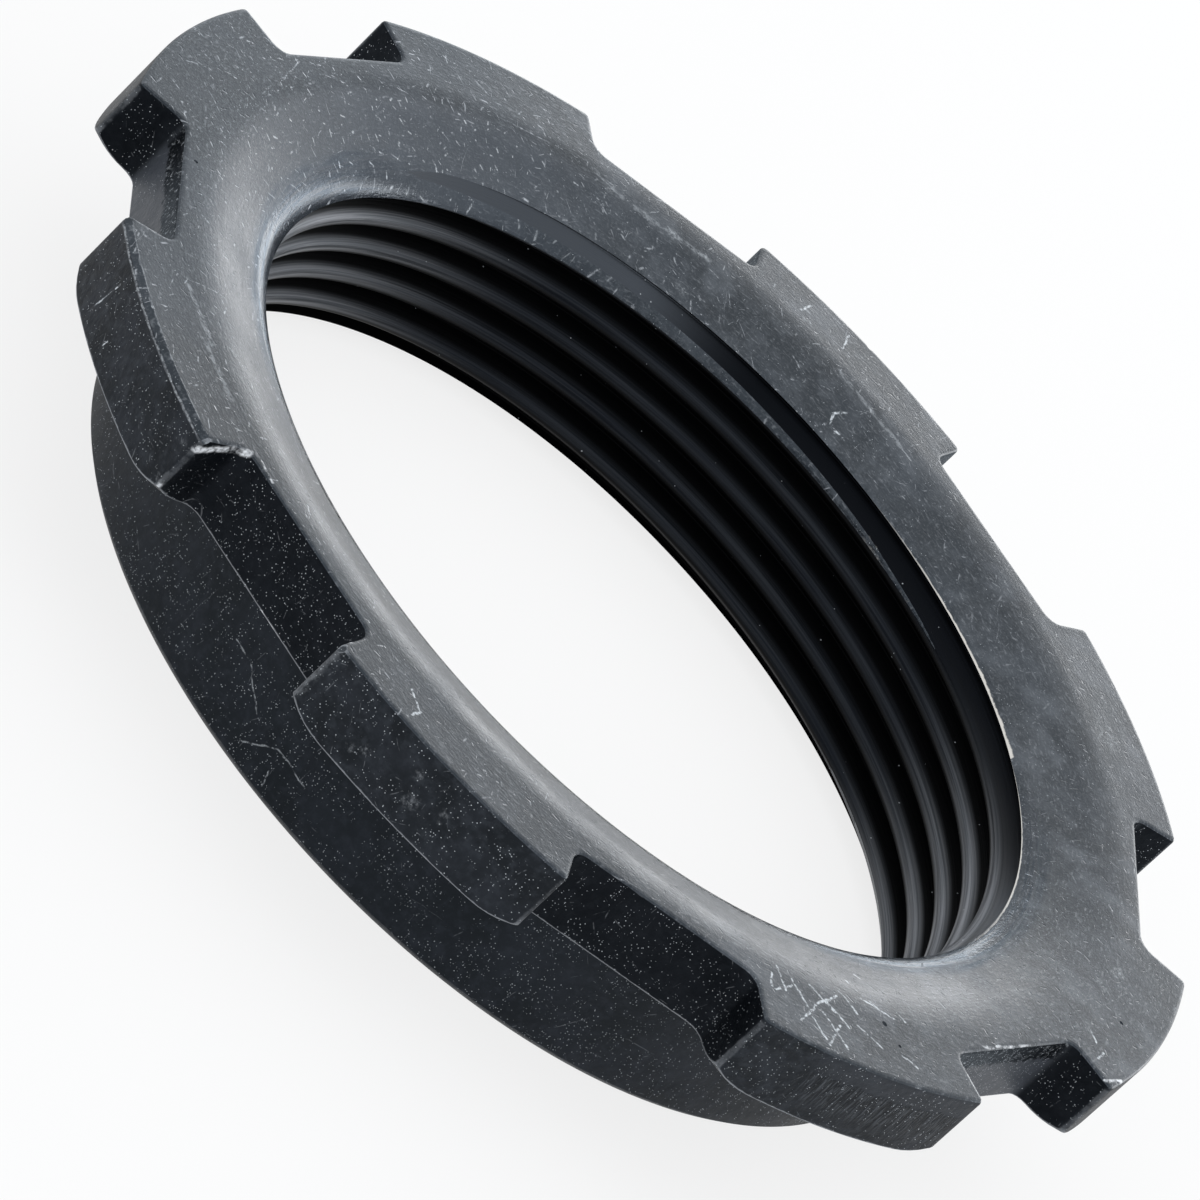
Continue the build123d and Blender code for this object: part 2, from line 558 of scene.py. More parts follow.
def rise(tree, value, start, end):
    """Goes smoothly from 0 to 1 while the value goes from start to end."""
    return add_node(tree, "MapRange", {"Value": value, "From Min": start, "From Max": end},
                    interpolation_type="SMOOTHSTEP").outputs["Result"]


# %% Vectors
def vector(tree, operation, *terms):
    """The result of one step of arithmetic on vectors."""
    return add_node(tree, "VectorMath", enumerate(terms), operation=operation).outputs[0]


def vector_measure(tree, operation, *terms):
    """A number that is measured on vectors: a length, a distance or a dot product."""
    return add_node(tree, "VectorMath", enumerate(terms), operation=operation).outputs["Value"]


def scaled(tree, value, factor):
    """A vector made longer or shorter."""
    return add_node(tree, "VectorMath", {0: value, 3: factor}, operation="SCALE").outputs[0]


# %% Colours and noise
def blend_colours(tree, share, first, second):
    """The first colour where the share is 0, the second where it is 1."""
    return add_node(tree, "Mix", {0: share, 6: first, 7: second}, data_type="RGBA").outputs[2]


def lay_over(tree, colour, *layers):
    """Lays paints over a colour, one after the other, each where its share says so."""
    for share, strength, paint in layers:
        colour = blend_colours(tree, times(tree, share, strength), colour, paint)
    return colour


def noise(tree, place, scale, detail, **inputs):
    """Values of a noise texture, mostly between 0.3 and 0.7."""
    values = {"Vector": place, "Scale": scale, "Detail": detail, **inputs}
    dimensions = "4D" if "W" in inputs else "3D"
    return add_node(tree, "TexNoise", values, noise_dimensions=dimensions).outputs["Fac"]


# %% Starting and placing a node group
def start_group(name, output, **inputs):
    """A node group with a place and its other inputs, ready to be filled, and its result's socket."""
    group = bpy.data.node_groups.new(name, "ShaderNodeTree")
    for label, value in {"Place": (0.0, 0.0, 0.0), **inputs}.items():
        kind = "NodeSocketVector" if isinstance(value, tuple) else "NodeSocketFloat"
        group.interface.new_socket(name=label, in_out="INPUT", socket_type=kind).default_value = value
    group.interface.new_socket(name=output, in_out="OUTPUT", socket_type="NodeSocketFloat")
    given = group.nodes.new("NodeGroupInput").outputs
    result = group.nodes.new("NodeGroupOutput").inputs[output]
    return group, given, result


def place_group(tree, group, **inputs):
    """Places a node group in a finish, and gives back its result."""
    return add_node(tree, "Group", inputs, node_tree=group).outputs[0]


# %% [markdown]
# ## Turning marks
#
# A lathe leaves fine rings. On the whole piece they follow its axis, so the noise changes fast with
# the distance from the axis and with height, and slowly along the ring.

# %% Turning marks
tree, given, result = start_group("turning marks", "Marks", Fineness=5.0, Length=6.0)
parts = add_node(tree, "SeparateXYZ", {0: given["Place"]}).outputs
level = add_node(tree, "CombineXYZ", {0: parts[0], 1: parts[1]}).outputs[0]
from_axis = vector_measure(tree, "LENGTH", level)
across = times(tree, number(tree, "ADD", from_axis, parts[2]), given["Fineness"])
along = scaled(tree, given["Place"], number(tree, "DIVIDE", 1.0, given["Length"]))
tree.links.new(noise(tree, along, 1.0, 3.0, W=across), result)
turning_marks = tree
print("turning marks", len(tree.nodes), "nodes")

# %% [markdown]
# ## Stray scratches
#
# Rings that lie loose in a drawer scratch each other, in no fixed direction. Each cell of a flat
# Voronoi pattern holds one straight scratch through its middle. The cell's random colour turns it,
# and says how long it is and whether it is there. The place has to be flat: across and along.

# %% Stray scratches
tree, given, result = start_group("stray scratches", "Scratches", Spacing=3.0, Thickness=0.04, Share=0.4)
cells = add_node(tree, "TexVoronoi", {
    "Vector": given["Place"], "Scale": number(tree, "DIVIDE", 1.0, given["Spacing"])},
    voronoi_dimensions="2D").outputs
chance = add_node(tree, "SeparateColor", {0: cells["Color"]}).outputs
flat_place = vector(tree, "MULTIPLY", given["Place"], (1.0, 1.0, 0.0))
from_middle = vector(tree, "SUBTRACT", flat_place, cells["Position"])
turned = add_node(tree, "VectorRotate", {
    "Vector": from_middle, "Angle": times(tree, chance[0], math.tau)},
    rotation_type="Z_AXIS").outputs[0]
parts = add_node(tree, "SeparateXYZ", {0: turned}).outputs
half_length = times(tree, chance[1], 0.5, given["Spacing"])
width = times(tree, given["Thickness"], chance[2])
line = rise(tree, number(tree, "ABSOLUTE", parts[1]), width, 0.0)
ends = rise(tree, number(tree, "ABSOLUTE", parts[0]), half_length, times(tree, half_length, 0.5))
another_chance = number(tree, "FRACT", times(tree, chance[2], 7.3))
present = number(tree, "LESS_THAN", another_chance, given["Share"])
tree.links.new(times(tree, line, ends, present), result)
stray_scratches = tree
print("stray scratches", len(tree.nodes), "nodes")


# %% Stray scratches of several sizes
def stray_marks(tree, flat_place, *kinds):
    """One result for each spacing, thickness and share: scratches, a little bent and broken."""
    bend = add_node(tree, "TexNoise", {"Vector": flat_place, "Scale": 0.5}).outputs["Color"]
    bent = vector(tree, "MULTIPLY_ADD", bend, (0.5, 0.5, 0.0), flat_place)
    breaks = rise(tree, noise(tree, flat_place, 3.0, 3.0, Roughness=0.7), 0.40, 0.56)
    return [times(tree, breaks, place_group(
        tree, stray_scratches, Place=bent, Spacing=spacing, Thickness=thickness, Share=share))
        for spacing, thickness, share in kinds]


# %% [markdown]
# ## Dust
#
# Pale grains of dust stick to the matt black. Each cell of a Voronoi pattern holds one grain at
# most, and the cell's own random colour says how big it is and whether it is there at all. A soft
# noise thins the grains out in some places, because dust gathers where fingers don't wipe it off.

# %% Dust
tree, given, result = start_group("dust", "Specks", Spacing=0.26, Grain=0.05, Share=0.5)
grains = add_node(tree, "TexVoronoi", {
    "Vector": given["Place"], "Scale": number(tree, "DIVIDE", 1.0, given["Spacing"])}).outputs
chance = add_node(tree, "SeparateColor", {0: grains["Color"]}).outputs
distance = times(tree, grains["Distance"], given["Spacing"])
size = times(tree, number(tree, "POWER", chance[0], 1.3), given["Grain"])
speck = rise(tree, distance, size, times(tree, size, 0.5))
gathered = rise(tree, noise(tree, given["Place"], 0.6, 3.0, Roughness=0.6), 0.30, 0.62)
present = number(tree, "LESS_THAN", chance[1], times(tree, gathered, given["Share"]))
tree.links.new(times(tree, speck, present), result)
dust = tree
print("dust", len(tree.nodes), "nodes")

# %% [markdown]
# ## Patches and worn edges
#
# Handling, oil and dried dirt leave the black uneven, in soft patches without a direction. Bare
# metal shows in a thin line along the edges that stand out, broken where the black still holds.

# %% Patches
tree, given, result = start_group("patches", "Patches", Size=6.0, Start=0.45, End=0.65)
cloud = noise(tree, given["Place"], number(tree, "DIVIDE", 1.0, given["Size"]), 5.0, Roughness=0.62)
tree.links.new(rise(tree, cloud, given["Start"], given["End"]), result)
patches = tree
print("patches", len(tree.nodes), "nodes")

# %% Worn edges
tree, given, result = start_group("worn edges", "Bare", Edge=0.0, Start=0.4, Patchiness=0.5)
ragged = noise(tree, given["Place"], 1.3, 6.0, Roughness=0.7)
held = times(tree, number(tree, "SUBTRACT", ragged, 0.5), given["Patchiness"])
edge = number(tree, "ADD", given["Edge"], held)
tree.links.new(rise(tree, edge, given["Start"], number(tree, "ADD", given["Start"], 0.3)), result)
worn_edges = tree
print("worn edges", len(tree.nodes), "nodes")

# %% [markdown]
# ## Single marks
#
# The marks that catch the eye on this ring are placed one by one: a scratch from one point to
# another, and a spot. Both are measured in the piece's own millimetres. The finish shakes the place a
# little before it asks for a scratch, and breaks the marks up afterwards, once for all of them.

# %% A scratch and a spot
tree, given, result = start_group(
    "one scratch", "Scratch", From=(0.0, 0.0, 0.0), To=(1.0, 0.0, 0.0), Width=0.1)
offset = vector(tree, "SUBTRACT", given["Place"], given["From"])
path = vector(tree, "SUBTRACT", given["To"], given["From"])
offset_along = vector_measure(tree, "DOT_PRODUCT", offset, path)
path_squared = vector_measure(tree, "DOT_PRODUCT", path, path)
share = add_node(tree, "Clamp", {0: number(tree, "DIVIDE", offset_along, path_squared)}).outputs[0]
distance = vector_measure(tree, "DISTANCE", offset, scaled(tree, path, share))
line = rise(tree, distance, given["Width"], times(tree, given["Width"], 0.3))
tree.links.new(line, result)
one_scratch = tree

tree, given, result = start_group("spot", "Spot", Middle=(0.0, 0.0, 0.0), Size=1.0, Ragged=0.0)
distance = vector_measure(tree, "DISTANCE", given["Place"], given["Middle"])
ragged = times(tree, given["Size"], 3.0, given["Ragged"])
inside = rise(tree, number(tree, "ADD", distance, ragged), given["Size"], times(tree, given["Size"], -0.2))
tree.links.new(inside, result)
spot = tree
print("one scratch", len(one_scratch.nodes), "nodes, spot", len(spot.nodes), "nodes")


# %% Listed marks in a finish
def hand_scratches(tree, place, paths, breaks):
    """Scratches between pairs of points, each with its width, a little crooked and broken."""
    shake = add_node(tree, "TexNoise", {"Vector": place, "Scale": 1.5, "Detail": 3.0}).outputs["Color"]
    shake = vector(tree, "SUBTRACT", shake, (0.5, 0.5, 0.5))
    shaken = vector(tree, "MULTIPLY_ADD", shake, (0.3, 0.3, 0.3), place)
    lines = [place_group(tree, one_scratch, Place=shaken, From=start, To=end, Width=width)
             for start, end, width in paths]
    holes = rise(tree, noise(tree, place, breaks, 4.0, Roughness=0.7), 0.40, 0.58)
    return times(tree, largest(tree, *lines), holes)


def hand_spots(tree, place, spots):
    """Spots at points, each with its size, with ragged edges and made of crumbs."""
    ragged = number(tree, "SUBTRACT", noise(tree, place, 1.6, 5.0, Roughness=0.7), 0.5)
    inside = [place_group(tree, spot, Place=place, Middle=middle, Size=size, Ragged=ragged)
              for middle, size in spots]
    crumbs = rise(tree, noise(tree, place, 4.5, 5.0, Roughness=0.75), 0.42, 0.68)
    return times(tree, largest(tree, *inside), crumbs)


# %% Points on the ring, and the paths of scratches
def on_ring(radius, azimuth, height):
    """A point in millimetres from its distance to the axis, its direction and its height."""
    angle = math.radians(azimuth)
    return radius * math.cos(angle), radius * math.sin(angle), height


def on_face(radius, azimuth):
    """A point of the face or the dish."""
    return on_ring(radius, azimuth, ring_height - max(0.0, dish_radius - radius) * math.tan(dish_angle))


def paths_on_face(scratches, width):
    """Paths from scratches that go from one radius and azimuth to another."""
    return [(on_face(*scratch[:2]), on_face(*scratch[2:]), width) for scratch in scratches]


def paths_on_wall(radius, scratches, width):
    """Paths from scratches that go from one azimuth and height to another."""
    return [(on_ring(radius, *scratch[:2]), on_ring(radius, *scratch[2:]), width) for scratch in scratches]


def paths_on_edges(lines):
    """Paths from lines that go from one radius, azimuth and height to another."""
    return [(on_ring(*start), on_ring(*end), width) for start, end, width in lines]


def path_round_ring(radius, height, start, end, steps, width):
    """The paths of a line that follows the ring from one azimuth to another."""
    azimuths = [start + (end - start) * step / steps for step in range(steps + 1)]
    return [(on_ring(radius, before, height), on_ring(radius, after, height), width)
            for before, after in zip(azimuths, azimuths[1:])]


# %% [markdown]
# ## The four finishes
#
# All of them are the same black layer on steel, bluish and half matt. What differs is how rough the
# metal under it is, how much has worn off, and how much dust has stayed. Each is built in a few
# steps: first the black and its films, then wear and marks, then the gloss and the relief.

# %% What the finishes share
deep_black = (0.003, 0.004, 0.006, 1.0)
painted_shade_black = (0.006, 0.007, 0.009, 1.0)
dried_film = (0.10, 0.11, 0.125, 1.0)
bare_steel = (0.42, 0.44, 0.47, 1.0)
bright_steel = (0.85, 0.87, 0.90, 1.0)
burr_and_highlight = (0.78, 0.74, 0.68, 1.0)
dust_colour = (0.68, 0.72, 0.76, 1.0)
near_side = -68.3
burr_highlight_side = 55.0


def open_finish(name, specular, tint):
    """The tree of a finish, its shader, the place on the ring in millimetres, and the edge number."""
    tree = bpy.data.materials[name].node_tree
    shader = tree.nodes["Principled BSDF"]
    shader.inputs["Specular IOR Level"].default_value = specular
    shader.inputs["Specular Tint"].default_value = (*tint, 1.0)
    place = scaled(tree, add_node(tree, "TexCoord").outputs["Object"], 1 / millimetre)
    edge = add_node(tree, "Attribute", attribute_name="standing_edge").outputs["Fac"]
    return tree, shader, place, edge


def close_finish(tree, shader, height, depth, **results):
    """Joins the results to the shader's inputs, and a height in millimetres to its normal."""
    bump = add_node(tree, "Bump", {"Height": height, "Distance": depth * millimetre})
    tree.links.new(bump.outputs[0], shader.inputs["Normal"])
    for name, result in results.items():
        tree.links.new(result, shader.inputs[name.replace("_", " ")])


# %% Where a point lies on the ring
def axis_distance(tree, place):
    """Distance from the bore's axis in millimetres."""
    return vector_measure(tree, "LENGTH", vector(tree, "MULTIPLY", place, (1.0, 1.0, 0.0)))


def unrolled(tree, place):
    """A wall laid flat: the way round and outwards across, and the height up."""
    parts = add_node(tree, "SeparateXYZ", {0: place}).outputs
    azimuth = number(tree, "ARCTAN2", parts[1], parts[0])
    way_round = spread(tree, azimuth, flange_radius, axis_distance(tree, place))
    return add_node(tree, "CombineXYZ", {0: way_round, 1: parts[2]}).outputs[0]


def facing(tree, place, azimuth, start, end):
    """Rises with how well the ring's side points in a direction: 1 is straight, 0 a quarter turn off."""
    outwards = vector(tree, "NORMALIZE", vector(tree, "MULTIPLY", place, (1.0, 1.0, 0.0)))
    return rise(tree, vector_measure(tree, "DOT_PRODUCT", outwards, on_ring(1.0, azimuth, 0.0)), start, end)


# %% [markdown]
# ## The turned face and the dish
#
# The face is handled most. A dried film clouds it in patches. Towards one side the film is painted
# thinner and the flat reflects less, a painted shade, while the dish there has a pale painted sheen
# and its scuffs are painted brighter. Scuffs and scratches have gone through the black, and a few of
# the lugs' edges are bare. The tap threw up a thin burr on one side of the mouth, with a painted
# highlight along it. Left and right of the camera, the lip round the mouth reflects less, in rings.

# %% Marks on the face: distance from the axis and azimuth, from one end to the other
face_scratches = [
    (28.8, -32.1, 30.2, -31.7), (29.0, -28.1, 30.1, -25.8), (31.8, -30.7, 29.9, -27.5),
    (29.9, -27.5, 28.9, -24.6), (31.1, -29.1, 32.6, -27.9), (30.4, -27.5, 32.3, -25.7),
    (30.9, -25.7, 32.4, -27.8), (30.4, -23.2, 31.3, -21.0), (26.2, -18.5, 29.1, -15.8),
    (28.1, -22.3, 29.1, -17.2), (27.2, -21.6, 27.8, -20.8), (31.4, -18.5, 31.9, -17.1),
    (30.3, 14.3, 30.9, 13.5), (31.6, 11.8, 31.5, 13.4), (32.3, -72.4, 31.5, -72.2),
    (30.7, -74.1, 31.6, -72.3), (29.4, -33.0, 30.4, -33.4), (30.6, -33.2, 29.6, -30.6),
    (29.2, -30.4, 30.6, -29.4), (29.6, -26.4, 30.8, -24.6), (28.4, -24.0, 29.6, -22.6),
    (28.0, -20.4, 28.9, -18.6), (30.3, 119.2, 31.5, 118.5), (30.5, 113.7, 32.3, 114.1),
    (25.0, 107.4, 24.9, 108.8), (24.9, 108.8, 25.8, 109.5), (25.8, 109.5, 26.5, 108.7)]
face_scrapes = [
    (30.0, -119.6, 29.6, -112.4), (30.0, -112.7, 29.8, -105.8), (28.4, 145.8, 27.7, 142.0),
    (27.6, 140.5, 27.8, 130.3), (28.4, 112.5, 27.9, 102.4)]
face_smudges = [
    (29.6, 27.1, 0.7), (29.4, 22.5, 0.6), (27.7, 135.1, 0.7), (27.6, 139.0, 0.5), (28.0, 143.5, 0.6),
    (27.8, 130.8, 0.5), (26.4, 144.4, 0.3), (24.9, 132.0, 0.5), (29.9, 118.0, 0.5), (30.2, 66.0, 1.2)]
bare_edge_lines = [
    ((33.1, -100.2, 11.6), (31.9, -100.0, 11.9), 0.28), ((31.9, -100.0, 11.9), (30.2, -99.6, 12.25), 0.28),
    ((29.9, -99.0, 12.3), (29.9, -96.5, 12.3), 0.14), ((33.1, -79.9, 12.0), (32.2, -80.0, 12.2), 0.14),
    ((29.9, -6.0, 12.3), (29.9, 3.0, 12.3), 0.12), ((31.6, -10.2, 12.3), (33.0, -10.3, 12.2), 0.10),
    ((32.7, 10.2, 12.3), (33.1, 12.6, 12.25), 0.12)]
bevel_ends = (-124.0, -101.0)

# %% The face's black and its films
face_shade_side = -130.0
sheen_side = -165.0
tree, shader, place, edge = open_finish("turned_face", 0.5, (0.78, 0.89, 1.0))
radius = axis_distance(tree, place)
rings = place_group(tree, turning_marks, Place=place, Fineness=7.0, Length=2.5)
dashes = place_group(tree, turning_marks, Place=place, Fineness=6.0, Length=0.4)
grain = noise(tree, place, 7.0, 3.0, Roughness=0.6)
cloud = place_group(tree, patches, Place=place, Size=5.0, Start=0.38, End=0.66)
colour = blend_colours(tree, cloud, (0.004, 0.006, 0.009, 1), (0.016, 0.020, 0.026, 1))
# Painted shade: the pale film fades out towards one side, which leaves that side of the face darker.
film_and_side_shade = spread(tree, facing(tree, place, face_shade_side, 0.8, -0.3), 0.75, 0.25)
thin_film = place_group(tree, patches, Place=place, Size=1.2, Start=0.42, End=0.70)
thick_film = place_group(tree, patches, Place=place, Size=3.2, Start=0.48, End=0.72)
colour = lay_over(
    tree, colour, (times(tree, thin_film, film_and_side_shade), 0.30, dried_film),
    (times(tree, thick_film, film_and_side_shade), 0.55, dried_film),
    (rise(tree, grain, 0.50, 0.66), 0.07, bare_steel), (rise(tree, dashes, 0.55, 0.72), 0.20, bare_steel))

# %% The face's scuffs, scratches and dust
strokes, hairlines, long_scratches = stray_marks(
    tree, place, (0.6, 0.10, 0.8), (1.2, 0.08, 0.7), (4.5, 0.07, 0.5))
rubbed = place_group(tree, patches, Place=place, Size=3.6, Start=0.42, End=0.60)
scuffs = largest(tree, times(tree, strokes, rubbed), hairlines, long_scratches)
# Painted light: the scuffs are brighter towards the side with the painted sheen.
sharp = spread(tree, facing(tree, place, sheen_side, -0.7, 0.3), 0.65, 0.35)
smudges = hand_spots(tree, place, [(on_face(*spot_place), size) for *spot_place, size in face_smudges])
faint = path_round_ring(flange_radius - bevel_width, ring_height, *bevel_ends, 5, 0.06)
faint += paths_on_face(face_scrapes, 0.26)
specks = place_group(tree, dust, Place=place, Spacing=0.16, Grain=0.034, Share=0.7)
colour = lay_over(
    tree, colour, (times(tree, scuffs, sharp), 0.8, bare_steel), (smudges, 0.5, dust_colour),
    (hand_scratches(tree, place, faint, 3.0), 0.22, dust_colour),
    (hand_scratches(tree, place, paths_on_face(face_scratches, 0.10), 3.5), 0.9, dust_colour),
    (hand_scratches(tree, place, paths_on_edges(bare_edge_lines), 0.9), 1.0, bright_steel),
    (specks, 0.7, dust_colour))

# %% The side with a painted sheen, the rim and the burr at the mouth
on_flat = rise(tree, radius, dish_radius - 0.6, dish_radius + 0.4)
# Painted sheen: the dish is given a paler colour towards one side, and there the flat reflects less, a
# painted shade.
toward_sheen_side = facing(tree, place, sheen_side, 0.45, 0.90)
painted_dish_sheen = times(tree, toward_sheen_side, opposite(tree, on_flat))
at_rim = rise(tree, radius, flange_radius - 0.6, flange_radius - 0.45)
worn = place_group(tree, worn_edges, Place=place, Edge=edge, Start=0.72, Patchiness=0.7)
burr = place_group(tree, worn_edges, Place=place, Edge=edge, Start=0.40, Patchiness=1.1)
at_mouth = rise(tree, radius, 24.55, 24.35)
# A burr with a painted highlight: a pale warm line along the mouth's edge on one side.
burr_with_highlight = times(tree, at_mouth, facing(tree, place, burr_highlight_side, 0.70, 0.92), burr)
colour = lay_over(
    tree, colour, (painted_dish_sheen, 0.30, (0.085, 0.10, 0.125, 1)),
    (times(tree, strokes, painted_dish_sheen), 0.5, dust_colour), (times(tree, worn, at_rim), 0.45, bare_steel),
    (burr_with_highlight, 0.9, burr_and_highlight))

# %% The face's gloss and relief
beside = times(tree, facing(tree, place, near_side, 0.85, 0.55), facing(tree, place, near_side, -0.6, -0.2))
dull_rings = spread(tree, rise(tree, rings, 0.40, 0.62), 0.4, 0.15)
dull_lip = times(tree, rise(tree, radius, 25.2, 24.6), dull_rings, beside)
dull = largest(tree, dull_lip, times(tree, toward_sheen_side, on_flat, 0.25))
gloss = spread(tree, rings, 0.15, spread(tree, cloud, 0.08, 0.24))
gloss = spread(tree, rise(tree, radius, 24.45, 24.25), -0.14, gloss)
relief = spread(tree, dashes, 0.5, times(tree, grain, 0.35))
relief = spread(tree, strokes, -0.5, relief)
close_finish(tree, shader, relief, 0.03, Base_Color=colour, Metallic=dull, Roughness=gloss)
print("turned face", len(tree.nodes), "nodes")

# %% [markdown]
# ## The punched sides and the slots
#
# A punch cuts smoothly at first and then tears the metal. On one lug the torn zone shows below the
# smooth cut, with upright streaks, and the slots' far floors are torn and full of crumbs. In the
# slots, the walls and the floors on the camera's side are painted deeper black, a painted shade, and
# the far floors are painted paler, as if lit. Dust clings to all of it.

# %% Marks on the sides: azimuth and height
side_spots = [
    (-68.6, 11.0, 0.35), (-65.0, 10.1, 0.22), (-65.2, 10.6, 0.35), (-72.8, 9.9, 0.3), (-73.8, 9.4, 0.3),
    (-67.6, 9.8, 0.5), (-114.3, 10.6, 0.12), (-79.7, 9.6, 0.5), (-79.8, 10.8, 0.45), (-100.6, 9.2, 0.4),
    (-101.2, 11.2, 0.3)]
side_scratches = [(-118.9, 8.9, -118.4, 11.1), (-114.6, 9.1, -114.5, 9.5)]
bare_back_lines = [
    ((29.9, -88.5, 8.3), (29.9, -84.0, 8.3), 0.13), ((33.2, -100.6, 8.7), (33.2, -99.9, 9.3), 0.2)]
worn_corner_line = [((33.15, -79.8, 9.2), (33.15, -79.8, 12.1), 0.40)]
sheared_lug = -19.0

# %% The sides' black, smooth and torn
tree, shader, place, edge = open_finish("punched_side", 0.22, (0.80, 0.90, 1.0))
flat_place = unrolled(tree, place)
height = add_node(tree, "SeparateXYZ", {0: place}).outputs[2]
radius = axis_distance(tree, place)
grain = noise(tree, place, 2.4, 4.0, Roughness=0.6)
cloud = place_group(tree, patches, Place=place, Size=2.0, Start=0.35, End=0.70)
mottle = place_group(tree, patches, Place=place, Size=0.5, Start=0.45, End=0.70)
smooth_cut = rise(tree, number(tree, "ADD", grain, number(tree, "SUBTRACT", height, 0.5)), 10.95, 11.15)
sheared = facing(tree, place, sheared_lug, 0.984, 0.992)
streaks = noise(tree, vector(tree, "MULTIPLY", flat_place, (7.0, 0.9, 0.0)), 1.0, 3.0, Roughness=0.6)
streak_colour = blend_colours(
    tree, rise(tree, streaks, 0.46, 0.66), (0.002, 0.0025, 0.004, 1), (0.06, 0.066, 0.075, 1))
torn = times(tree, sheared, opposite(tree, smooth_cut), rise(tree, height, 8.6, 10.2))
colour = lay_over(
    tree, blend_colours(tree, cloud, deep_black, (0.013, 0.015, 0.020, 1)),
    (mottle, 0.35, (0.035, 0.040, 0.048, 1)),
    (times(tree, sheared, smooth_cut), 0.4, (0.040, 0.044, 0.052, 1)), (torn, 0.85, streak_colour))

# %% The slots' walls and floors
on_floor = rise(tree, radius, slot_floor + 0.7, slot_floor + 0.3)
near_slot = facing(tree, place, near_side, 0.55, 0.70)
in_slot = rise(tree, radius, flange_radius - 0.05, flange_radius - 0.35)
# Painted shade: deeper black on the slots' walls and on the floors of the slots on the camera's side.
painted_slot_shade = times(tree, in_slot, largest(tree, near_slot, opposite(tree, on_floor)))
# Painted light: the floors of the other slots are painted paler, as if lit; their torn zone is real.
far_floor = times(tree, on_floor, opposite(tree, near_slot))
torn_floor = times(tree, far_floor, smooth_cut)
crumbs = rise(tree, noise(tree, place, 4.5, 4.0, Roughness=0.7), 0.54, 0.68)
torn_colour = lay_over(tree, (0.004, 0.005, 0.007, 1), (crumbs, 0.4, dust_colour))
colour = lay_over(
    tree, colour, (painted_slot_shade, 0.7, deep_black), (far_floor, 0.8, (0.060, 0.066, 0.078, 1)),
    (torn_floor, 1.0, torn_colour))

# %% The sides' bare edges, marks and dust
bare = place_group(tree, worn_edges, Place=place, Edge=edge, Start=0.32, Patchiness=1.0)
bare = times(tree, bare, rise(tree, height, ring_height - 0.2, ring_height - 0.34))
bare_strength = spread(tree, rise(tree, height, 9.4, 8.6), 0.35, 0.16)
scratches = largest(tree, *stray_marks(tree, flat_place, (0.9, 0.05, 0.5), (3.0, 0.05, 0.25)))
worn_corner = hand_scratches(tree, place, paths_on_edges(worn_corner_line), 2.5)
rubbed = hand_spots(tree, place, [(on_ring(flange_radius, *spot_place), size)
                                  for *spot_place, size in side_spots])
wall_scratches = hand_scratches(tree, place, paths_on_wall(flange_radius, side_scratches, 0.07), 4.0)
marks = hand_scratches(tree, place, paths_on_edges(bare_edge_lines + bare_back_lines), 0.9)
bevel_line = path_round_ring(flange_radius, ring_height - bevel_width, *bevel_ends, 5, 0.08)
specks = place_group(tree, dust, Place=place, Spacing=0.11, Grain=0.034, Share=0.9)
colour = lay_over(
    tree, colour, (bare, bare_strength, bare_steel), (scratches, 0.22, bare_steel),
    (worn_corner, 0.14, bare_steel), (rubbed, 0.4, bare_steel), (wall_scratches, 0.9, dust_colour),
    (marks, 1.0, bright_steel), (hand_scratches(tree, place, bevel_line, 6.0), 0.35, dust_colour),
    (specks, 0.9, dust_colour))

# %% The sides' gloss and relief
dull = times(tree, largest(tree, torn_floor, painted_slot_shade), 0.6, opposite(tree, largest(tree, specks, marks)))
relief = spread(tree, times(tree, torn, streaks), 1.2, grain)
relief = spread(tree, times(tree, torn_floor, crumbs), 0.6, relief)
gloss = spread(tree, grain, 0.25, 0.36)
close_finish(tree, shader, relief, 0.05, Base_Color=colour, Metallic=dull, Roughness=gloss)
print("punched side", len(tree.nodes), "nodes")

# %% [markdown]
# ## The collar, the flange's back and the ring's lower end
#
# The spring covers these in use, so they keep the smooth matt black of drawn metal. They have much
# fine dust, and a few scratches from the spring's end.

# %% The collar's finish
collar_scratches = [
    (-84.1, 1.2, -80.7, 2.5), (-80.7, 2.5, -78.9, 2.5), (-78.9, 2.5, -75.7, 2.3),
    (-92.2, 4.0, -89.5, 4.0), (-89.5, 4.0, -84.7, 2.7), (-79.6, 1.4, -79.1, 0.7)]
tree, shader, place, edge = open_finish("drawn_collar", 0.22, (0.75, 0.88, 1.0))
cloud = place_group(tree, patches, Place=place, Size=4.0, Start=0.35, End=0.70)
mottle = place_group(tree, patches, Place=place, Size=0.5, Start=0.45, End=0.70)
bare = place_group(tree, worn_edges, Place=place, Edge=edge, Start=0.30, Patchiness=0.5)
scratches = largest(tree, *stray_marks(tree, unrolled(tree, place), (1.0, 0.05, 0.4), (4.0, 0.05, 0.25)))
wall_scratches = hand_scratches(tree, place, paths_on_wall(collar_radius, collar_scratches, 0.06), 5.0)
specks = place_group(tree, dust, Place=place, Spacing=0.10, Grain=0.034, Share=0.9)
grain = noise(tree, place, 1.2, 4.0, Roughness=0.6)
colour = lay_over(
    tree, blend_colours(tree, cloud, deep_black, (0.011, 0.013, 0.018, 1)),
    (mottle, 0.3, (0.030, 0.034, 0.044, 1)), (bare, 0.35, bare_steel), (scratches, 0.22, bare_steel),
    (wall_scratches, 0.4, dust_colour), (specks, 0.8, dust_colour))
close_finish(tree, shader, grain, 0.04, Base_Color=colour, Roughness=spread(tree, grain, 0.2, 0.38))
print("drawn collar", len(tree.nodes), "nodes")
